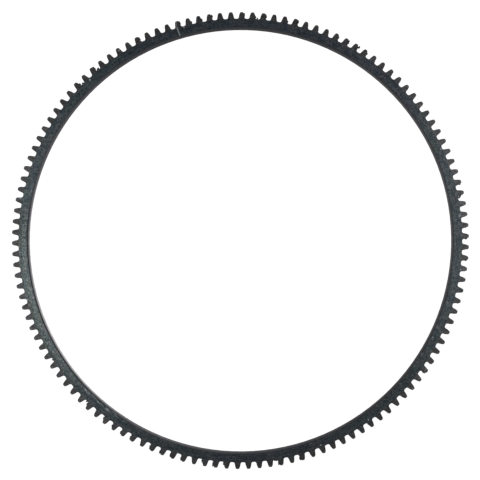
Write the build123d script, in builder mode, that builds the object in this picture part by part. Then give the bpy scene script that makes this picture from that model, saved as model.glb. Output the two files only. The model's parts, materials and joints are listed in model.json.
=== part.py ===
from build123d import *
from math import acos, cos, degrees, radians, sin, tan
import os

# Flywheel ring gear: a flat hoop of heat treated steel, shrunk on the rim of a flywheel,
# with involute stub teeth all round for the pinion of the starter motor.
# Millimetres. Z is the bore axis, the lower face lies on Z = 0, and the middle of one
# tooth points along +X. The upper face is the plain turned one, and the lower face is
# the one that the pinion enters from.

# Teeth
tooth_count = 130
diametral_pitch = 10.0  # teeth per inch of pitch diameter
pressure_angle = 14.5
addendum = 2.12
dedendum = 2.75
tooth_thickness = 3.6  # along the pitch circle
tip_land = 1.5  # flat left on top of each tooth
tip_break = 0.3  # depth of the bevel beside the tip land
tip_relief = 0.17  # how far each flank leans in at that bevel
relief_depth = 1.3  # from the tip to where the flank begins to lean in
root_fillet = 1.2
root_chords = 4  # straight steps in each root fillet, within 0.02 of its arc

# Hoop
face_width = 9.5  # from face to face
rim_depth = 6.8  # from the bore to the roots of the teeth
bore_bevel = 0.8

# Lead-in bevel on the trailing flank of each tooth, at the lower face
lead_in_depth = 1.8  # along the bore axis
lead_in_width = 1.2  # across the tooth

# Values that follow from the ones above
inch = 25.4
pitch_radius = tooth_count / diametral_pitch * inch / 2
base_radius = pitch_radius * cos(radians(pressure_angle))
tip_radius = pitch_radius + addendum
root_radius = pitch_radius - dedendum
bore_radius = root_radius - rim_depth
pitch_angle = 360 / tooth_count


def involute(angle):
    return tan(angle) - angle


def half_tooth(radius):
    # Half of the angle that a tooth takes up at this radius, in degrees.
    slope = acos(min(base_radius / radius, 1))
    half_at_pitch = tooth_thickness / 2 / pitch_radius
    return degrees(half_at_pitch + involute(radians(pressure_angle)) - involute(slope))


def polar(radius, angle):
    return Vector(radius * cos(radians(angle)), radius * sin(radians(angle)))


# Corners of the upper flank of the tooth on +X, before its root is eased.
break_radius = tip_radius - tip_break
relief_radius = tip_radius - relief_depth
foot = polar(root_radius, half_tooth(root_radius))
next_foot = polar(root_radius, pitch_angle - half_tooth(root_radius))
flank_middle = polar(pitch_radius, half_tooth(pitch_radius))
flank_top = polar(relief_radius, half_tooth(relief_radius))
tip_shoulder = polar(break_radius, half_tooth(break_radius) - degrees(tip_relief / break_radius))
tip_corner = polar(tip_radius, degrees(tip_land / 2 / tip_radius))
space_middle = (foot + next_foot) / 2

# The outline of one tooth, from the middle of one tooth space to the middle of the next.
# Each flank is an arc through three points of the involute.
with BuildLine() as tooth:
    corner = FilletPolyline(flank_middle, foot, space_middle, radius=root_fillet, mode=Mode.PRIVATE)
    root_arc = corner.edges().filter_by(GeomType.CIRCLE)[0]
    root_points = [root_arc @ (step / root_chords) for step in range(root_chords + 1)]
    root_points.sort(key=lambda point: point.Y)
    Polyline((tip_corner.X, 0), tip_corner, tip_shoulder, flank_top)
    ThreePointArc(flank_top, flank_middle, root_points[0])
    Polyline(*root_points, space_middle)
    mirror(about=Plane.XZ)

# The cutter of the lead-in bevel lies along one flank, from the root outwards. Its
# slanted side meets the lower face inside the tooth and the flank above that face.
flank_run = flank_top - foot
cutter_side = lead_in_width + root_fillet
slant = lead_in_depth / lead_in_width
with BuildPart() as lead_in:
    with BuildSketch(Plane(foot, x_dir=(0, 0, 1), z_dir=flank_run)):
        Polygon(
            (-lead_in_depth, 2 * lead_in_width),
            (lead_in_depth + slant * cutter_side, -cutter_side),
            (-lead_in_depth, -cutter_side),
            align=None,
        )
    extrude(amount=flank_run.length + addendum)

with BuildPart() as ring_gear:
    with BuildSketch():
        with BuildLine():
            with PolarLocations(0, tooth_count):
                add(tooth.line)
        make_face()
    extrude(amount=face_width)

    # The bore is turned, with a bevel at each face.
    with BuildSketch(Plane.XZ):
        with BuildLine():
            Polyline(
                (0, 0),
                (bore_radius + bore_bevel, 0),
                (bore_radius, bore_bevel),
                (bore_radius, face_width - bore_bevel),
                (bore_radius + bore_bevel, face_width),
                (0, face_width),
                close=True,
            )
        make_face()
    revolve(axis=Axis.Z, mode=Mode.SUBTRACT)

    with PolarLocations(0, tooth_count):
        add(lead_in.part, mode=Mode.SUBTRACT)

ring_gear.part.label = "ring_gear"

os.makedirs("parts", exist_ok=True)
export_step(ring_gear.part, "parts/ring_gear.step")
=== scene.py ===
import bpy
import json
import math
from mathutils import Matrix, Vector
from types import SimpleNamespace


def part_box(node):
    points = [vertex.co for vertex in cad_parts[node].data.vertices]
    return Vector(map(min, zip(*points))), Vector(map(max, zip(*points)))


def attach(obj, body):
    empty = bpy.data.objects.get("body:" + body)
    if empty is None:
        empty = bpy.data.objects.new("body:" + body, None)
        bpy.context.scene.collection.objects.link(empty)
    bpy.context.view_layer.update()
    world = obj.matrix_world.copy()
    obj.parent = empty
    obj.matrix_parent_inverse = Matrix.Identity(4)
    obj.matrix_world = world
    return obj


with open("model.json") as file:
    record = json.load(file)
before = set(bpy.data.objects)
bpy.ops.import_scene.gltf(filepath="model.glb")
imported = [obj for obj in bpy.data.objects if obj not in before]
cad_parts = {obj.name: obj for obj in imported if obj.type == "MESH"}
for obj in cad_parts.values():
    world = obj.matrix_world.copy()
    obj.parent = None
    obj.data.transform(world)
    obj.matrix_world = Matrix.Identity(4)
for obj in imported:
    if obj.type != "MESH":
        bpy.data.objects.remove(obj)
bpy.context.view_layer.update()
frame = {"nodes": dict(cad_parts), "record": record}
print("frame loaded:", ", ".join(sorted(frame["nodes"])))

# Sizes of the gear that the looks follow, in metres. The first four come from the pack
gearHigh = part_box("ring_gear")[1]
mounts = {mount["name"]: mount for mount in frame["record"]["mounts"]}
boreSize = mounts["bore"]["dims"]
faceHeight = gearHigh.z
tipRadius = gearHigh.x
boreRadius = boreSize["r_mm"] / 1000
boreBevel = (faceHeight - boreSize["length_mm"] / 1000) / 2
toothCount = 130
pitchRadius = 0.1651
rootRadius = 0.16235
halfTooth = 0.0018        # half of a tooth's thickness, at the pitch circle
flankSlope = 0.2586       # how fast a tooth narrows outwards, on each side
toothTurn = 2 * math.pi / toothCount


# Small helpers for node trees

def addNode(tree, kind, **settings):
    node = tree.nodes.new(kind)
    for name, value in settings.items():
        setattr(node, name, value)
    return node


def feed(tree, target, value):
    # another node's output is linked, a plain number or colour is set
    if isinstance(value, bpy.types.NodeSocket):
        tree.links.new(value, target)
    elif value is not None:
        target.default_value = value


def maths(tree, operation, a, b=None, c=None):
    node = addNode(tree, "ShaderNodeMath", operation=operation)
    for socket, value in zip(node.inputs, (a, b, c)):
        feed(tree, socket, value)
    return node.outputs[0]


def times(tree, first, *others):
    for other in others:
        first = maths(tree, "MULTIPLY", first, other)
    return first


def opposite(tree, value):
    return maths(tree, "SUBTRACT", 1.0, value)


def ramp(tree, value, low, high, toLow=0.0, toHigh=1.0):
    node = addNode(tree, "ShaderNodeMapRange", interpolation_type="SMOOTHSTEP")
    for name, number in (("Value", value), ("From Min", low), ("From Max", high),
                         ("To Min", toLow), ("To Max", toHigh)):
        feed(tree, node.inputs[name], number)
    return node.outputs["Result"]


def stretch(tree, value, middle, halfWidth, soft):
    # 1 along a stretch of a value, easing to 0 outside it
    away = maths(tree, "ABSOLUTE", maths(tree, "SUBTRACT", value, middle))
    return ramp(tree, away, halfWidth, halfWidth + soft, 1.0, 0.0)


def joinVector(tree, x, y, z):
    node = addNode(tree, "ShaderNodeCombineXYZ")
    for socket, value in zip(node.inputs, (x, y, z)):
        feed(tree, socket, value)
    return node.outputs[0]


def splitVector(tree, vector):
    node = addNode(tree, "ShaderNodeSeparateXYZ")
    feed(tree, node.inputs[0], vector)
    return node.outputs


def scaleVector(tree, vector, sizes):
    node = addNode(tree, "ShaderNodeVectorMath", operation="MULTIPLY")
    feed(tree, node.inputs[0], vector)
    feed(tree, node.inputs[1], sizes)
    return node.outputs[0]


def noise(tree, vector, scale, detail=3.0, rough=0.55, warp=0.0):
    node = addNode(tree, "ShaderNodeTexNoise")
    for name, value in (("Vector", vector), ("Scale", scale), ("Detail", detail),
                        ("Roughness", rough), ("Distortion", warp)):
        feed(tree, node.inputs[name], value)
    return node.outputs["Fac"]


def stretchedNoise(tree, vector, sizes, detail=2.0, rough=0.6):
    return noise(tree, scaleVector(tree, vector, sizes), 1.0, detail, rough)


def blend(tree, factor, a, b, mode="MIX"):
    node = addNode(tree, "ShaderNodeMix", data_type="RGBA", blend_type=mode)
    feed(tree, node.inputs["Factor"], factor)
    feed(tree, node.inputs["A"], a)
    feed(tree, node.inputs["B"], b)
    return node.outputs["Result"]


def tinted(tree, colour, tint):
    return blend(tree, 1.0, colour, tint, "MULTIPLY")


def shaded(tree, colour, shade):
    return tinted(tree, colour, joinVector(tree, shade, shade, shade))


def bump(tree, height, distance, normal=None):
    node = addNode(tree, "ShaderNodeBump")
    feed(tree, node.inputs["Distance"], distance)
    feed(tree, node.inputs["Height"], height)
    feed(tree, node.inputs["Normal"], normal)
    return node.outputs["Normal"]


def newGroup(name, inputs, outputs):
    tree = bpy.data.node_groups.new(name, "ShaderNodeTree")
    for label, kind, value in inputs:
        socket = tree.interface.new_socket(label, in_out="INPUT", socket_type="NodeSocket" + kind)
        socket.default_value = value
    for label, kind in outputs:
        tree.interface.new_socket(label, in_out="OUTPUT", socket_type="NodeSocket" + kind)
    given = addNode(tree, "NodeGroupInput").outputs
    return tree, given, addNode(tree, "NodeGroupOutput").inputs


def placeGroup(tree, group, **values):
    node = addNode(tree, "ShaderNodeGroup", node_tree=group)
    for label, value in values.items():
        feed(tree, node.inputs[label], value)
    return node.outputs


# Node groups, built once and placed in each material

def makeRoundTheBore():
    # where a point is about the bore axis. Streak is a vector for noise that runs round
    # the ring: it has no seam at half a turn, and its last part counts millimetres across
    tree, _, out = newGroup("roundTheBore", [],
                            [("Place", "Vector"), ("Radius", "Float"), ("Angle", "Float"),
                             ("Streak", "Vector")])
    place = addNode(tree, "ShaderNodeTexCoord").outputs["Object"]
    x, y, z = splitVector(tree, place)
    radius = maths(tree, "SQRT", maths(tree, "ADD", times(tree, x, x), times(tree, y, y)))
    across = times(tree, maths(tree, "ADD", radius, z), 1000.0)
    streak = joinVector(tree, maths(tree, "DIVIDE", x, radius), maths(tree, "DIVIDE", y, radius),
                        across)
    for label, value in (("Place", place), ("Radius", radius),
                         ("Angle", maths(tree, "ARCTAN2", y, x)), ("Streak", streak)):
        feed(tree, out[label], value)
    return tree


def makeScaleFilm():
    # the uneven film of heat treatment and oil: cloudy patches of three tones, with fine grain
    tree, given, out = newGroup("scaleFilm",
                                [("Cool", "Color", (0.2, 0.24, 0.26, 1)),
                                 ("Warm", "Color", (0.22, 0.2, 0.19, 1)),
                                 ("Green", "Color", (0.2, 0.24, 0.22, 1)),
                                 ("Mottle", "Float", 0.2)],
                                [("Color", "Color"), ("Cloud", "Float")])
    cloudScale, patchScale, grainScale, broadScale = 230.0, 310.0, 640.0, 60.0    # per metre
    broadShade = 0.3
    place = addNode(tree, "ShaderNodeTexCoord").outputs["Object"]
    cloud = noise(tree, place, cloudScale, 3.0, 0.6, 0.5)
    patch = noise(tree, scaleVector(tree, place, (1.0, 1.0, 0.6)), patchScale, 2.0, 0.5, 0.3)
    colour = blend(tree, ramp(tree, cloud, 0.40, 0.60), given["Cool"], given["Warm"])
    colour = blend(tree, ramp(tree, patch, 0.50, 0.66), colour, given["Green"])
    grain = maths(tree, "SUBTRACT", noise(tree, place, grainScale, 2.0, 0.7), 0.5)
    broad = maths(tree, "SUBTRACT", noise(tree, place, broadScale, 2.0), 0.5)
    shade = maths(tree, "MULTIPLY_ADD", times(tree, grain, 6.0), given["Mottle"], 1.0)
    shade = maths(tree, "MULTIPLY_ADD", broad, broadShade, shade)
    feed(tree, out["Color"], shaded(tree, colour, shade))
    feed(tree, out["Cloud"], cloud)
    return tree


roundTheBore = makeRoundTheBore()
scaleFilm = makeScaleFilm()


# Steel of the gear

gearFinish = {
    # film of heat treatment and oil, blue green on the turned faces and brown grey on the teeth
    "faceCool": (0.182, 0.232, 0.266, 1),
    "faceWarm": (0.215, 0.237, 0.251, 1),
    "faceGreen": (0.192, 0.245, 0.246, 1),
    "faceMottle": 0.38,
    "toothCool": (0.186, 0.194, 0.213, 1),
    "toothWarm": (0.210, 0.197, 0.198, 1),
    "toothGreen": (0.192, 0.200, 0.191, 1),
    "toothMottle": 0.35,
    "toothSpread": 0.10,                      # most that a tooth's shade is off the usual one
    "toothFilm": (-0.0010, 0.0008),           # where it begins, from the root circle
    "toothRagged": 0.0016,                    # and how far that strays in or out
    "flank": (0.330, 0.345, 0.368, 1),
    "bore": (0.385, 0.370, 0.390, 1),
    "paintedHighlightBore": (1.000, 1.000, 1.000, 1),     # painted highlight: one stretch of it is painted white
    "oilAndShadeBore": (0.120, 0.125, 0.150, 1),    # oil patches, and painted shade on two stretches
    "bevel": (0.140, 0.142, 0.152, 1),
    # painted shade for the bevel on one stretch
    "paintedShadeBevel": (0.055, 0.055, 0.068, 1),
    "mark": (0.660, 0.710, 0.700, 1),         # flecks, pits, scratches, chips and weld line
    "wornTip": (0.620, 0.590, 0.480, 1),
    "rustTint": (1.26, 1.00, 0.88, 1),
    "rustAbove": 0.78,                        # teeth that draw more than this are rusty
    "edgeShade": (0.100, 0.100, 0.105, 1),         # painted shade: a dark line along the edges of the teeth
    "shade": (1.000, 1.000, 1.000, 1),        # multiplies all of it
    # how strong each mark and the painted edge shade are, from 0 to 1
    "edgeShadeLine": 0.6,
    "fleckZone": 0.60,
    "strayFlecks": 0.03,
    "pits": 0.8,
    "pitShare": 0.10,
    "scratches": 0.85,
    "chips": 0.25,
    "wornTips": 0.6,
    "paleTips": 0.07,
    "weldOnRim": 0.75,
    "weldOnTooth": 0.42,
    # strength of the painted shade on two stretches of the bore
    "boreShade": 0.38,
    "ringContrast": 0.26,                     # of the turning marks
    "outerDark": 0.22,
    # painted shade on the face just beside the bore's bevel
    "shadeBesideBevel": 0.2,
    "boreHighlightTop": 0.15,                       # of the painted highlight on the bore, at the upper face
    "darkWall": 0.8,
    # sheen and relief
    "metallic": 0.9,
    "matt": (0.8, 0.55, 0.6),                 # of the bore, the flanks and the bevels
    "roughness": (0.37, 0.51),                # least and most over the clouds of the film
    "rougher": (-0.08, 0.15, 0.25),           # and how the marks, teeth and bevels differ
    "anisotropy": 0.5,
    "grooveDepth": 0.00002,
    "filmDepth": 0.00005,
    # grain of each effect, per metre
    "filmScale": 420.0,
    "pitScale": 230.0,
    "pitEdgeScale": 1500.0,
    "chipScale": 520.0,
    "weldScale": 300.0,
    "hobScale": (90.0, 90.0, 900.0),
    # and of those that run round the ring: per radius along it, given twice for the two axes
    # of the circle, then per millimetre across it
    "ringScale": (9.0, 9.0, 1.6),
    "grooveScale": (14.0, 14.0, 9.0),
    "fleckScale": (105.0, 105.0, 1.2),
    "scratchScale": (34.0, 34.0, 2.2),
    # widths in metres
    "edgeWidth": (0.0001, 0.0006),            # full up to the first, gone at the second
    "weldWidth": (0.0001, 0.0006),
    "weldBend": 0.0008,
    "weldLean": (0.10, -0.14),                # per metre outwards, on the rim and on the tooth
    "besideWidth": 0.0006,
    "outerFrom": 0.0030,                      # from the bore
    # bands: how far the middle is from the bore or the tips, half of its width, and how far
    # it fades out beyond that
    "scratchBand": (0.0016, 0.0005, 0.0006),
    "chipBand": (0.0009, 0.0007, 0.0003),
    "wornTipBand": (-0.0014, 0.0008, 0.0007),
    # places round the ring, in degrees from the first tooth: the middle of a stretch, then
    # half of its length, then how far it fades out beyond that
    "weldAt": 105.4,
    # stretch of the bore wall with the painted highlight
    "boreHighlightAt": (-162.0, 20.0, 22.0),
    "paintedShadeBevelAt": (-160.0, 24.0, 14.0),
    "darkWallAt": (170.0, 14.0, 16.0),
    # two stretches of painted shade on the bore
    "boreShadeAt": (122.0, 45.0, 35.0),
    "boreShadeAlsoAt": (-66.0, 25.0, 25.0),
    "flecksAt": (-165.0, 18.0, 15.0),
    "scratchesAt": (-132.0, 5.0, 6.0),
    "chipsAt": (-50.0, 22.0, 14.0),
    "wornTipsAt": (-38.5, 4.5, 1.5),
    # slow drifts of the film's hue, each a tint and its places. The grey tints at 179 and 29
    # degrees are painted shade, and pale makes two stretches lighter
    "drifts": {
        "blue": ((1.00, 0.95, 1.03, 1), (80.0, 35.0, 20.0), (-83.0, 10.0, 15.0)),
        "cyan": ((0.93, 1.00, 1.00, 1), (109.0, 20.0, 20.0)),
        "rosy": ((1.05, 1.00, 0.99, 1), (0.0, 25.0, 20.0)),
        "green": ((1.06, 1.04, 0.955, 1), (-165.0, 16.0, 16.0)),
        "paintedShade": ((0.88, 0.88, 0.88, 1), (179.0, 4.0, 9.0)),
        "paintedShadeMild": ((0.928, 0.928, 0.928, 1), (29.0, 18.0, 14.0)),
        "pale": ((1.11, 1.10, 1.10, 1), (144.0, 10.0, 12.0), (74.0, 6.0, 10.0)),
    },
}


def around(tree, angle, place):
    # 1 on a stretch of the ring, easing to 0 outside it
    middle, halfWidth, soft = (math.radians(part) for part in place)
    turned = maths(tree, "WRAP", maths(tree, "SUBTRACT", angle, middle), math.pi, -math.pi)
    return stretch(tree, turned, 0.0, halfWidth, soft)


def band(tree, radius, base, place):
    # 1 on a band round the whole ring, near the circle with the base radius
    middle, halfWidth, soft = place
    return stretch(tree, radius, base + middle, halfWidth, soft)


def surfaceOf(tree, finish):
    # where a point of the gear is, and which part of the gear that is, as masks
    where = placeGroup(tree, roundTheBore)
    here = SimpleNamespace(place=where["Place"], radius=where["Radius"], angle=where["Angle"],
                           streak=where["Streak"])
    here.height = splitVector(tree, here.place)[2]
    here.wander = noise(tree, here.place, finish["filmScale"])
    normal = addNode(tree, "ShaderNodeNewGeometry").outputs["True Normal"]
    level = maths(tree, "ABSOLUTE", splitVector(tree, normal)[2])
    onSide = ramp(tree, level, 0.30, 0.50, 1.0, 0.0)
    here.onFace = ramp(tree, level, 0.80, 0.95)
    nearBore = ramp(tree, here.radius, boreRadius + boreBevel * 0.98,
                    boreRadius + boreBevel * 1.1, 1.0, 0.0)
    here.onBore = times(tree, nearBore, onSide)
    here.onBevel = times(tree, nearBore, stretch(tree, level, 0.707, 0.1, 0.1))
    here.onFlank = times(tree, opposite(tree, nearBore), onSide)
    # the film of the teeth ends raggedly near the root circle
    strayed = maths(tree, "SUBTRACT", here.wander, 0.5)
    ragged = maths(tree, "MULTIPLY_ADD", strayed, finish["toothRagged"], here.radius)
    begins, whole = finish["toothFilm"]
    here.onTooth = ramp(tree, ragged, rootRadius + begins, rootRadius + whole)
    here.onRim = opposite(tree, here.onTooth)
    here.outer = ramp(tree, here.radius, boreRadius + finish["outerFrom"], rootRadius - 0.0010)
    here.worn = around(tree, here.angle, finish["flecksAt"])
    return here


def shadeTeeth(tree, here, finish, colour):
    # each tooth differs a little in shade, and a few tips have a rusty tint
    number = maths(tree, "FLOOR", maths(tree, "MULTIPLY_ADD", here.angle, 1 / toothTurn, 0.5))
    lot = addNode(tree, "ShaderNodeTexWhiteNoise", noise_dimensions="1D")
    feed(tree, lot.inputs["W"], maths(tree, "FLOORED_MODULO", number, float(toothCount)))
    drawn = splitVector(tree, lot.outputs["Color"])
    spread = finish["toothSpread"]
    shade = maths(tree, "MULTIPLY_ADD", ramp(tree, drawn[0], 0.0, 1.0, -spread, spread),
                  here.onTooth, 1.0)
    colour = shaded(tree, colour, shade)
    rusty = times(tree, maths(tree, "GREATER_THAN", drawn[1], finish["rustAbove"]),
                  ramp(tree, here.wander, 0.38, 0.58),
                  ramp(tree, here.radius, pitchRadius - 0.0005, tipRadius - 0.0006))
    return blend(tree, rusty, colour, tinted(tree, colour, finish["rustTint"]))


def turningMarks(tree, here, finish, colour):
    # rings of slightly different shade on the rim, that come and go round it
    rings = stretchedNoise(tree, here.streak, finish["ringScale"], 3.0)
    contrast = finish["ringContrast"]
    shade = ramp(tree, rings, 0.25, 0.75, 1 - contrast, 1 + contrast)
    shade = maths(tree, "ADD", times(tree, maths(tree, "SUBTRACT", shade, 1.0), here.onRim), 1.0)
    # where the flecks are, the outer half of the rim is darker than the inner half
    shade = maths(tree, "SUBTRACT", shade, times(tree, here.worn, here.outer, finish["outerDark"]))
    # painted shade: a darker band on the face just beside the bore's bevel
    bevelEnd = boreRadius + boreBevel
    beside = ramp(tree, here.radius, bevelEnd, bevelEnd + finish["besideWidth"],
                  finish["shadeBesideBevel"], 0.0)
    return shaded(tree, colour, maths(tree, "SUBTRACT", shade, beside))


def toothEdges(tree, here, finish):
    # painted shade just inside the edges of the teeth and of the spaces between them
    sideways = times(tree, maths(tree, "PINGPONG", here.angle, toothTurn / 2), here.radius)
    rise = maths(tree, "SUBTRACT", here.radius, pitchRadius)
    flankAt = maths(tree, "MULTIPLY_ADD", rise, -flankSlope, halfTooth)
    inside = maths(tree, "SUBTRACT", flankAt, sideways)
    return times(tree, ramp(tree, inside, *finish["edgeWidth"], 1.0, 0.0),
                 ramp(tree, here.radius, rootRadius - 0.0006, rootRadius),
                 here.onFace, finish["edgeShadeLine"])


def wearMarks(tree, here, finish):
    # pale flecks, mostly in one zone
    flecked = stretchedNoise(tree, here.streak, finish["fleckScale"])
    flecks = times(tree, ramp(tree, flecked, 0.54, 0.68), here.onRim,
                   ramp(tree, here.outer, 0.2, 1.0, 1.0, 0.45),
                   maths(tree, "MULTIPLY_ADD", here.worn, finish["fleckZone"],
                         finish["strayFlecks"]))
    # single pits, each with a ragged edge
    cells = addNode(tree, "ShaderNodeTexVoronoi", feature="F1")
    feed(tree, cells.inputs["Vector"], here.place)
    feed(tree, cells.inputs["Scale"], finish["pitScale"])
    uneven = noise(tree, here.place, finish["pitEdgeScale"], 2.0)
    uneven = ramp(tree, uneven, 0.3, 0.7, -0.08, 0.10)
    spread = maths(tree, "ADD", cells.outputs["Distance"], uneven)
    drawn = splitVector(tree, cells.outputs["Color"])[0]
    pits = times(tree, ramp(tree, spread, 0.08, 0.20, 1.0, 0.0),
                 maths(tree, "LESS_THAN", drawn, finish["pitShare"]), finish["pits"])
    # short scratches beside the bore
    dashed = stretchedNoise(tree, here.streak, finish["scratchScale"])
    scratches = times(tree, ramp(tree, dashed, 0.53, 0.62),
                      around(tree, here.angle, finish["scratchesAt"]),
                      band(tree, here.radius, boreRadius, finish["scratchBand"]),
                      finish["scratches"])
    # chips along its bevel
    chipped = noise(tree, here.place, finish["chipScale"], 2.0, 0.6)
    chips = times(tree, ramp(tree, chipped, 0.56, 0.64),
                  around(tree, here.angle, finish["chipsAt"]),
                  band(tree, here.radius, boreRadius, finish["chipBand"]),
                  finish["chips"])
    tips = ramp(tree, here.radius, tipRadius - 0.0016, tipRadius - 0.0004, 0.0, finish["paleTips"])
    marks = flecks
    for kind in (pits, scratches, chips, tips):
        marks = maths(tree, "MAXIMUM", marks, kind)
    return marks


def weldLine(tree, here, finish):
    # the ground butt weld: it leans across the rim, then fades up one tooth
    upRim = maths(tree, "SUBTRACT", maths(tree, "MINIMUM", here.radius, rootRadius), boreRadius)
    upTooth = maths(tree, "MAXIMUM", maths(tree, "SUBTRACT", here.radius, rootRadius), 0.0)
    rimLean, toothLean = finish["weldLean"]
    lean = maths(tree, "MULTIPLY_ADD", upTooth, toothLean, times(tree, upRim, rimLean))
    turned = maths(tree, "SUBTRACT", here.angle, math.radians(finish["weldAt"]))
    aside = maths(tree, "SUBTRACT", times(tree, turned, here.radius), lean)
    bent = maths(tree, "SUBTRACT", noise(tree, here.place, finish["weldScale"], 1.0), 0.5)
    away = maths(tree, "ABSOLUTE", maths(tree, "ADD", aside, times(tree, bent, finish["weldBend"])))
    return times(tree, ramp(tree, away, *finish["weldWidth"], 1.0, 0.0),
                 ramp(tree, here.radius, rootRadius - 0.0006, rootRadius + 0.0012,
                      finish["weldOnRim"], finish["weldOnTooth"]))


def wornTips(tree, here, finish):
    return times(tree, around(tree, here.angle, finish["wornTipsAt"]),
                 ramp(tree, here.wander, 0.42, 0.66),
                 band(tree, here.radius, tipRadius, finish["wornTipBand"]),
                 finish["wornTips"], here.onFace)


def boreColour(tree, here, finish):
    # patches of oil, and painted shade in the same dark colour along two stretches
    boreShade = maths(tree, "MAXIMUM", around(tree, here.angle, finish["boreShadeAt"]),
                  around(tree, here.angle, finish["boreShadeAlsoAt"]))
    wall = blend(tree, times(tree, boreShade, finish["boreShade"]), finish["bore"], finish["oilAndShadeBore"])
    return blend(tree, ramp(tree, here.wander, 0.35, 0.65, 0.0, 0.35), wall, finish["oilAndShadeBore"])


def paintedBoreHighlight(tree, here, finish):
    # painted highlight: one stretch of the wall is painted white, most of all low down. Past its
    # end only the foot is
    lowDown = ramp(tree, here.height, faceHeight * 0.30, faceHeight * 0.85, 1.0,
                   finish["boreHighlightTop"])
    darkAbove = times(tree, around(tree, here.angle, finish["darkWallAt"]),
                      ramp(tree, here.height, faceHeight * 0.2, faceHeight * 0.5))
    lowDown = times(tree, lowDown, opposite(tree, times(tree, darkAbove, finish["darkWall"])))
    return times(tree, around(tree, here.angle, finish["boreHighlightAt"]),
                 ramp(tree, here.wander, 0.35, 0.6, 0.7, 1.0), here.onBore, lowDown)


def steelMaterial(name, finish):
    material = bpy.data.materials.new(name)
    material.use_nodes = True
    tree = material.node_tree
    shader = tree.nodes["Principled BSDF"]
    here = surfaceOf(tree, finish)

    # Film of the faces and of the teeth
    face = placeGroup(tree, scaleFilm, Cool=finish["faceCool"], Warm=finish["faceWarm"],
                      Green=finish["faceGreen"], Mottle=finish["faceMottle"])
    tooth = placeGroup(tree, scaleFilm, Cool=finish["toothCool"], Warm=finish["toothWarm"],
                       Green=finish["toothGreen"], Mottle=finish["toothMottle"])
    colour = blend(tree, here.onTooth, face["Color"], tooth["Color"])
    # drifts of the film's hue, with painted shade on two stretches
    for tint, *places in finish["drifts"].values():
        for place in places:
            drift = times(tree, around(tree, here.angle, place), here.onRim)
            colour = blend(tree, drift, colour, tinted(tree, colour, tint))
    colour = shadeTeeth(tree, here, finish, colour)
    colour = turningMarks(tree, here, finish, colour)
    # painted shade along the edges of the teeth
    colour = blend(tree, toothEdges(tree, here, finish), colour, finish["edgeShade"])

    # Wear
    marks = maths(tree, "MAXIMUM", wearMarks(tree, here, finish), weldLine(tree, here, finish))
    marks = times(tree, marks, here.onFace)
    colour = blend(tree, marks, colour, finish["mark"])
    colour = blend(tree, wornTips(tree, here, finish), colour, finish["wornTip"])

    # Bevel of the bore, flanks with their hob marks, and the bore
    # painted shade: the bevel is darker along one stretch of the ring
    paintedShadeBevel = around(tree, here.angle, finish["paintedShadeBevelAt"])
    bevel = blend(tree, paintedShadeBevel, finish["bevel"], finish["paintedShadeBevel"])
    colour = blend(tree, here.onBevel, colour, bevel)
    hobbed = stretchedNoise(tree, here.place, finish["hobScale"])
    hobShade = times(tree, ramp(tree, hobbed, 0.3, 0.7, 0.7, 1.25),
                     ramp(tree, face["Cloud"], 0.35, 0.65, 0.85, 1.15))
    colour = blend(tree, here.onFlank, colour, shaded(tree, finish["flank"], hobShade))
    colour = blend(tree, here.onBore, colour, boreColour(tree, here, finish))
    # painted highlight on one stretch of the bore wall
    boreHighlight = paintedBoreHighlight(tree, here, finish)
    colour = blend(tree, boreHighlight, colour, finish["paintedHighlightBore"])
    feed(tree, shader.inputs["Base Color"], tinted(tree, colour, finish["shade"]))

    # oxide, bright wear and the painted highlight on the bore scatter the light, the film over bare
    # steel mirrors it
    matt = maths(tree, "MAXIMUM", marks, boreHighlight)
    for part, share in zip((here.onBore, here.onFlank, here.onBevel), finish["matt"]):
        matt = maths(tree, "MAXIMUM", matt, times(tree, part, share))
    feed(tree, shader.inputs["Metallic"], times(tree, opposite(tree, matt), finish["metallic"]))
    rough = ramp(tree, face["Cloud"], 0.3, 0.7, *finish["roughness"])
    for part, change in zip((marks, here.onTooth, here.onBevel), finish["rougher"]):
        rough = maths(tree, "MULTIPLY_ADD", part, change, rough)
    feed(tree, shader.inputs["Roughness"], rough)

    # the sheen spreads across the turning marks, so it gathers in two lobes round the ring
    shader.inputs["Anisotropic"].default_value = finish["anisotropy"]
    shader.inputs["Anisotropic Rotation"].default_value = 0.25
    turned = addNode(tree, "ShaderNodeTangent", direction_type="RADIAL", axis="Z")
    feed(tree, shader.inputs["Tangent"], turned.outputs[0])

    grooves = stretchedNoise(tree, here.streak, finish["grooveScale"], 2.0, 0.7)
    grooved = bump(tree, grooves, finish["grooveDepth"])
    feed(tree, shader.inputs["Normal"], bump(tree, here.wander, finish["filmDepth"], grooved))
    return material


gear = frame["nodes"]["ring_gear"]
steel = steelMaterial("hardenedSteel", gearFinish)
for slot in gear.material_slots:
    slot.material = steel
print("gear steel done")


# Burrs that the hob and the pinion left on the clockwise edge of the teeth, at the upper face

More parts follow.
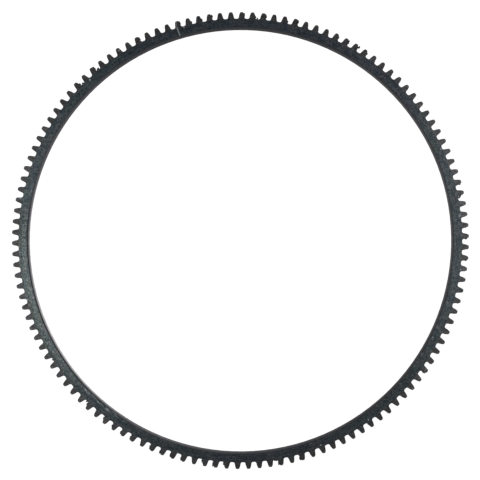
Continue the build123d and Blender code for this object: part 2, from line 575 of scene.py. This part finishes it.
burrs = {
    "nibsEach": 7,
    "scatter": 0.45,          # how far a nib strays from its row, as a share of its size
    "smallChance": 0.45,      # share of the teeth that have a slight burr besides
    "smallSize": 0.00026,
    "nibDepth": 0.0005,       # how far below the upper face a nib may sit
    "ragged": 0.7,            # how lumpy a nib is
    "ball": {"Segments": 8, "Rings": 5, "Radius": 1.0},
    "lumpScale": 1.1,
    "tilt": 0.5,              # most that a nib leans, and is turned off its tooth
    "turn": 0.6,
    "sizes": ((0.8, 1.5), (0.7, 1.1), (0.6, 1.0)),    # least and most along, across, down
    "smallRise": (-0.0012, 0.0016),                   # of a slight burr, from the pitch circle
    "smallSink": 0.4,         # how deep it sits, as a share of the nib depth
    "mergeAt": 0.00014,       # grain of the mesh that the nibs of a burr are merged into
    "shade": (0.72, 0.72, 0.74, 1),
    "bumpDepth": 0.00015,
    "seed": 7,
    # Teeth are counted anticlockwise from the one on +X. A burr is a row of nibs between
    # two places, each given by its distance from the middle of the tooth and its rise
    # from the pitch circle, in metres
    "kinds": {
        "lip": {"teeth": (22, 27, 30, 32, 35, 38, 42, 47, 86, 87,
                          89, 90, 91, 92, 95, 101, 103, 117, 118),
                "start": (0.00205, -0.0006), "end": (0.00178, 0.0011), "size": 0.00055},
        "midLip": {"teeth": (0, 20, 23, 85),
                   "start": (0.0020, -0.0006), "end": (0.0019, 0.0003), "size": 0.00042},
        "smallLip": {"teeth": (5, 128),
                     "start": (0.0018, -0.0001), "end": (0.0017, 0.0009), "size": 0.00045},
        "lowLip": {"teeth": (28, 31, 36, 37, 49, 82, 84, 94, 96),
                   "start": (0.0024, -0.0017), "end": (0.0022, -0.0007), "size": 0.00042},
        "hook": {"teeth": (21,),
                 "start": (0.00165, -0.0005), "end": (0.0029, 0.0010), "size": 0.00062},
        "lump": {"teeth": (31, 77, 82),
                 "start": (0.0034, -0.0028), "end": (0.0038, -0.0023), "size": 0.00048},
        "mound": {"teeth": (49,),
                  "start": (0.0033, -0.0029), "end": (0.0044, -0.0025), "size": 0.00070},
        "speck": {"teeth": (47,),
                  "start": (0.0031, -0.0029), "end": (0.0042, -0.0020), "size": 0.00080},
        "shelf": {"teeth": (101,),
                  "start": (0.0027, -0.0022), "end": (0.0046, -0.0026), "size": 0.00050},
        "flap": {"teeth": (4,),
                 "start": (0.0018, -0.0009), "end": (0.0037, -0.0022), "size": 0.00050},
    },
}


def burrPoints():
    # the first place of each row, with what the nodes need to know about the row
    places = []
    columns = {"turn": [], "size": [], "reachSide": [], "reachOut": []}
    for kind in burrs["kinds"].values():
        side, rise = kind["start"]
        endSide, endRise = kind["end"]
        out = pitchRadius + rise
        for tooth in kind["teeth"]:
            turn = tooth * toothTurn
            places.append((out * math.cos(turn) + side * math.sin(turn),
                           out * math.sin(turn) - side * math.cos(turn), faceHeight))
            for label, value in (("turn", turn), ("size", kind["size"]),
                                 ("reachSide", endSide - side), ("reachOut", endRise - rise)):
                columns[label].append(value)
    mesh = bpy.data.meshes.new("burrPoints")
    mesh.from_pydata(places, [], [])
    for label, values in columns.items():
        mesh.attributes.new(label, "FLOAT", "POINT").data.foreach_set("value", values)
    return mesh


def named(tree, label):
    node = addNode(tree, "GeometryNodeInputNamedAttribute", data_type="FLOAT")
    node.inputs["Name"].default_value = label
    return node.outputs["Attribute"]


def stored(tree, geometry, label, value):
    node = addNode(tree, "GeometryNodeStoreNamedAttribute", data_type="FLOAT", domain="POINT")
    feed(tree, node.inputs["Geometry"], geometry)
    node.inputs["Name"].default_value = label
    feed(tree, node.inputs["Value"], value)
    return node.outputs["Geometry"]


def chance(tree, low, high, seed, shift):
    node = addNode(tree, "FunctionNodeRandomValue", data_type="FLOAT")
    numbers = [socket for socket in node.inputs if socket.type == "VALUE"]
    feed(tree, numbers[0], low)
    feed(tree, numbers[1], high)
    whole = addNode(tree, "FunctionNodeIntegerMath", operation="ADD")
    feed(tree, whole.inputs[0], seed)
    feed(tree, whole.inputs[1], shift)
    feed(tree, node.inputs["Seed"], whole.outputs[0])
    return [socket for socket in node.outputs if socket.type == "VALUE"][0]


def turnedAboutZ(tree, vector, angle):
    node = addNode(tree, "ShaderNodeVectorRotate", rotation_type="Z_AXIS")
    feed(tree, node.inputs["Vector"], vector)
    feed(tree, node.inputs["Angle"], angle)
    return node.outputs[0]


def moved(tree, geometry, position=None, offset=None):
    node = addNode(tree, "GeometryNodeSetPosition")
    feed(tree, node.inputs["Geometry"], geometry)
    feed(tree, node.inputs["Position"], position)
    feed(tree, node.inputs["Offset"], offset)
    return node.outputs["Geometry"]


def burrRows(tree, given):
    # a row of points for each burr that is named, each strayed a little
    seed = given["Seed"]
    points = addNode(tree, "GeometryNodeMeshToPoints")
    feed(tree, points.inputs["Mesh"], given["Geometry"])
    copies = addNode(tree, "GeometryNodeDuplicateElements", domain="POINT")
    feed(tree, copies.inputs["Geometry"], points.outputs[0])
    feed(tree, copies.inputs["Amount"], given["Nibs Each"])
    share = maths(tree, "DIVIDE", copies.outputs["Duplicate Index"],
                  maths(tree, "SUBTRACT", given["Nibs Each"], 1.0))
    stray = times(tree, given["Scatter"], named(tree, "size"))
    outwards = maths(tree, "MULTIPLY_ADD", chance(tree, -1.0, 1.0, seed, 1), stray,
                     times(tree, share, named(tree, "reachOut")))
    sideways = maths(tree, "MULTIPLY_ADD", chance(tree, -1.0, 1.0, seed, 2), stray,
                     times(tree, share, named(tree, "reachSide"), -1.0))
    down = times(tree, chance(tree, -1.0, 0.0, seed, 3), given["Nib Depth"])
    row = joinVector(tree, outwards, sideways, down)
    return moved(tree, copies.outputs["Geometry"],
                 offset=turnedAboutZ(tree, row, named(tree, "turn")))


def slightBurrs(tree, given):
    # one slight burr on some of the teeth, anywhere along the flank
    seed = given["Seed"]
    each = addNode(tree, "GeometryNodePoints")
    feed(tree, each.inputs["Count"], given["Tooth Count"])
    turn = maths(tree, "MULTIPLY", addNode(tree, "GeometryNodeInputIndex").outputs[0],
                 maths(tree, "DIVIDE", 2 * math.pi, given["Tooth Count"]))
    rise = chance(tree, *burrs["smallRise"], seed, 4)
    side = maths(tree, "SUBTRACT", times(tree, rise, flankSlope), given["Half Tooth"])
    sink = times(tree, given["Nib Depth"], burrs["smallSink"])
    height = maths(tree, "SUBTRACT", given["Face Height"], sink)
    place = joinVector(tree, maths(tree, "ADD", given["Pitch Radius"], rise), side, height)
    slight = moved(tree, each.outputs[0], position=turnedAboutZ(tree, place, turn))
    slight = stored(tree, slight, "turn", turn)
    slight = stored(tree, slight, "size", given["Small Size"])
    thinned = addNode(tree, "GeometryNodeDeleteGeometry", domain="POINT")
    feed(tree, thinned.inputs["Geometry"], slight)
    feed(tree, thinned.inputs["Selection"],
         maths(tree, "GREATER_THAN", chance(tree, 0.0, 1.0, seed, 5), given["Small Chance"]))
    return thinned.outputs[0]


def nibShape(tree, given):
    # a small ragged ball
    ball = addNode(tree, "GeometryNodeMeshUVSphere")
    for label, value in burrs["ball"].items():
        ball.inputs[label].default_value = value
    lumps = addNode(tree, "ShaderNodeTexNoise")
    lumps.inputs["Scale"].default_value = burrs["lumpScale"]
    push = times(tree, maths(tree, "SUBTRACT", lumps.outputs["Fac"], 0.4), given["Ragged"])
    outwards = addNode(tree, "ShaderNodeVectorMath", operation="SCALE")
    feed(tree, outwards.inputs[0], addNode(tree, "GeometryNodeInputNormal").outputs[0])
    feed(tree, outwards.inputs["Scale"], push)
    return moved(tree, ball.outputs["Mesh"], offset=outwards.outputs[0])


def makeBurrTree():
    tree = bpy.data.node_groups.new("edgeBurrs", "GeometryNodeTree")
    sockets = {
        "Geometry": "Geometry", "Nibs Each": "Int", "Scatter": "Float", "Small Chance": "Float",
        "Small Size": "Float", "Nib Depth": "Float", "Ragged": "Float", "Tooth Count": "Int",
        "Pitch Radius": "Float", "Half Tooth": "Float", "Face Height": "Float", "Seed": "Int",
        "Material": "Material",
    }
    for label, kind in sockets.items():
        tree.interface.new_socket(label, in_out="INPUT", socket_type="NodeSocket" + kind)
    tree.interface.new_socket("Geometry", in_out="OUTPUT", socket_type="NodeSocketGeometry")
    given = addNode(tree, "NodeGroupInput").outputs
    seed = given["Seed"]

    join = addNode(tree, "GeometryNodeJoinGeometry")
    feed(tree, join.inputs[0], burrRows(tree, given))
    feed(tree, join.inputs[0], slightBurrs(tree, given))

    # each nib is turned with its tooth, and a little more besides
    spread = addNode(tree, "GeometryNodeInstanceOnPoints")
    feed(tree, spread.inputs["Points"], join.outputs[0])
    feed(tree, spread.inputs["Instance"], nibShape(tree, given))
    leans = [chance(tree, -burrs["tilt"], burrs["tilt"], seed, shift) for shift in (6, 7)]
    turn = chance(tree, -burrs["turn"], burrs["turn"], seed, 8)
    turn = maths(tree, "ADD", named(tree, "turn"), turn)
    feed(tree, spread.inputs["Rotation"], joinVector(tree, *leans, turn))
    size = named(tree, "size")
    sizes = [times(tree, size, chance(tree, *burrs["sizes"][axis], seed, 9 + axis))
             for axis in range(3)]
    feed(tree, spread.inputs["Scale"], joinVector(tree, *sizes))
    real = addNode(tree, "GeometryNodeRealizeInstances")
    feed(tree, real.inputs[0], spread.outputs[0])
    coat = addNode(tree, "GeometryNodeSetMaterial")
    feed(tree, coat.inputs["Geometry"], real.outputs[0])
    feed(tree, coat.inputs["Material"], given["Material"])
    feed(tree, addNode(tree, "NodeGroupOutput").inputs[0], coat.outputs[0])
    return tree


def plainCopy(source, name):
    # the evaluated object as a plain mesh of its own, at the origin
    bpy.context.view_layer.update()
    evaluated = source.evaluated_get(bpy.context.evaluated_depsgraph_get())
    mesh = bpy.data.meshes.new_from_object(evaluated)
    mesh.name = name
    piece = bpy.data.objects.new(name, mesh)
    bpy.context.scene.collection.objects.link(piece)
    bpy.data.objects.remove(source)
    return piece


def makeBurrs(material):
    source = bpy.data.objects.new("burrPoints", burrPoints())
    bpy.context.scene.collection.objects.link(source)
    maker = source.modifiers.new("burrs", "NODES")
    maker.node_group = makeBurrTree()
    values = {
        "Nibs Each": burrs["nibsEach"], "Scatter": burrs["scatter"],
        "Small Chance": burrs["smallChance"], "Small Size": burrs["smallSize"],
        "Nib Depth": burrs["nibDepth"], "Ragged": burrs["ragged"], "Seed": burrs["seed"],
        "Tooth Count": toothCount, "Pitch Radius": pitchRadius, "Half Tooth": halfTooth,
        "Face Height": faceHeight, "Material": material,
    }
    for socket in maker.node_group.interface.items_tree:
        if socket.in_out == "INPUT" and socket.name in values:
            maker[socket.identifier] = values[socket.name]
    # the nibs of a burr are merged into one lump, which drops their material
    merge = source.modifiers.new("merge", "REMESH")
    merge.mode = "VOXEL"
    merge.voxel_size = burrs["mergeAt"]
    merge.use_smooth_shade = True
    piece = plainCopy(source, "edgeBurrs")
    piece.data.materials.clear()
    piece.data.materials.append(material)
    return piece


burrFinish = dict(gearFinish, shade=burrs["shade"], filmDepth=burrs["bumpDepth"])
burrPiece = makeBurrs(steelMaterial("burrSteel", burrFinish))
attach(burrPiece, "root")
print("burrs done:", len(burrPiece.data.polygons), "faces")


# Floor, light and camera

studio = {
    "floorSize": 12.0,
    "floorGlow": 1.02,
    "floorBounce": 0.14,
    "floorShade": 0.05,      # what the steel sees of the floor
    "floorDrop": 0.0002,     # how far the floor is below the lower face
    "worldLight": 0.11,
    # soft boxes: turn and rise in degrees as the picture shows them, sizes in metres
    "lights": {
        "keyLight": {"turn": -171.0, "rise": 42.0, "distance": 1.0, "watts": 3.55,
                     "wide": 0.5, "high": 0.4},
        "fillLight": {"turn": 2.0, "rise": 40.0, "distance": 1.4, "watts": 5.4,
                      "wide": 1.2, "high": 0.6},
        "lowLight": {"turn": 30.0, "rise": 9.0, "distance": 1.3, "watts": 8.6,
                     "wide": 0.9, "high": 0.25},
    },
    "contrast": 0.85,        # below 1 prints the steel darker against the white
}
view = {
    "distance": 0.945,       # from the upper face
    "lean": 1.77,            # degrees off the bore axis
    "leanTurn": -53.0,       # towards the picture's lower right
    "roll": 0.869,           # a tooth stands this far round from the picture's right
    "width": 0.3512,         # what the picture spans at the upper face
    "aimRight": 0.000236,
    "aimUp": -0.000312,
    "sensor": 36.0,          # millimetres
}


def inPicture(turn, rise, distance):
    # a point whose direction is given as the picture shows it
    level = math.radians(turn - view["roll"])
    up = math.radians(rise)
    direction = (math.cos(up) * math.cos(level), math.cos(up) * math.sin(level), math.sin(up))
    return Vector(direction) * distance


def glow(tree, onSteel):
    # the white that the lens sees, and the light that falls on the steel
    seen = addNode(tree, "ShaderNodeLightPath").outputs["Is Camera Ray"]
    return maths(tree, "MULTIPLY_ADD", seen, studio["floorGlow"] - onSteel, onSteel)


def makeFloor():
    half = studio["floorSize"] / 2
    under = -studio["floorDrop"]
    corners = [(-half, -half, under), (half, -half, under), (half, half, under),
               (-half, half, under)]
    mesh = bpy.data.meshes.new("floor")
    mesh.from_pydata(corners, [], [(0, 1, 2, 3)])
    floor = bpy.data.objects.new("floor", mesh)
    bpy.context.scene.collection.objects.link(floor)
    material = bpy.data.materials.new("paleFloor")
    material.use_nodes = True
    tree = material.node_tree
    shader = tree.nodes["Principled BSDF"]
    shader.inputs["Base Color"].default_value = (studio["floorShade"],) * 3 + (1,)
    shader.inputs["Roughness"].default_value = 0.9
    shader.inputs["Emission Color"].default_value = (1, 1, 1, 1)
    # overexposed to the lens, and only a dim bounce to the steel
    feed(tree, shader.inputs["Emission Strength"], glow(tree, studio["floorBounce"]))
    # from below the floor is clear, so the under side of the gear can be looked at
    behind = addNode(tree, "ShaderNodeNewGeometry").outputs["Backfacing"]
    feed(tree, shader.inputs["Alpha"], opposite(tree, behind))
    mesh.materials.append(material)


def makeWorld():
    world = bpy.data.worlds.new("studio")
    world.use_nodes = True
    background = world.node_tree.nodes["Background"]
    background.inputs["Color"].default_value = (1, 1, 1, 1)
    strength = glow(world.node_tree, studio["worldLight"])
    feed(world.node_tree, background.inputs["Strength"], strength)
    bpy.context.scene.world = world


def softBox(name, turn, rise, distance, watts, wide, high):
    light = bpy.data.lights.new(name, "AREA")
    light.shape = "RECTANGLE"
    light.size = wide
    light.size_y = high
    light.energy = watts
    lamp = bpy.data.objects.new(name, light)
    lamp.location = inPicture(turn, rise, distance)
    lamp.rotation_euler = lamp.location.to_track_quat("Z", "Y").to_euler()
    bpy.context.scene.collection.objects.link(lamp)


def makeCamera():
    camera = bpy.data.cameras.new("camera")
    camera.sensor_width = view["sensor"]
    camera.lens = view["sensor"] * view["distance"] / view["width"]
    roll = math.radians(view["roll"])
    right = Vector((math.cos(roll), -math.sin(roll), 0))
    up = Vector((math.sin(roll), math.cos(roll), 0))
    target = right * view["aimRight"] + up * view["aimUp"] + Vector((0, 0, faceHeight))
    back = inPicture(view["leanTurn"], 90 - view["lean"], 1.0)
    side = up.cross(back).normalized()
    turned = Matrix((side, back.cross(side), back)).transposed().to_4x4()
    holder = bpy.data.objects.new("camera", camera)
    holder.matrix_world = Matrix.Translation(target + back * view["distance"]) @ turned
    bpy.context.scene.collection.objects.link(holder)
    bpy.context.scene.camera = holder


makeFloor()
makeWorld()
for lightName, setting in studio["lights"].items():
    softBox(lightName, **setting)
makeCamera()
bpy.context.scene.view_settings.view_transform = "Standard"
bpy.context.scene.view_settings.gamma = studio["contrast"]
print("studio done")
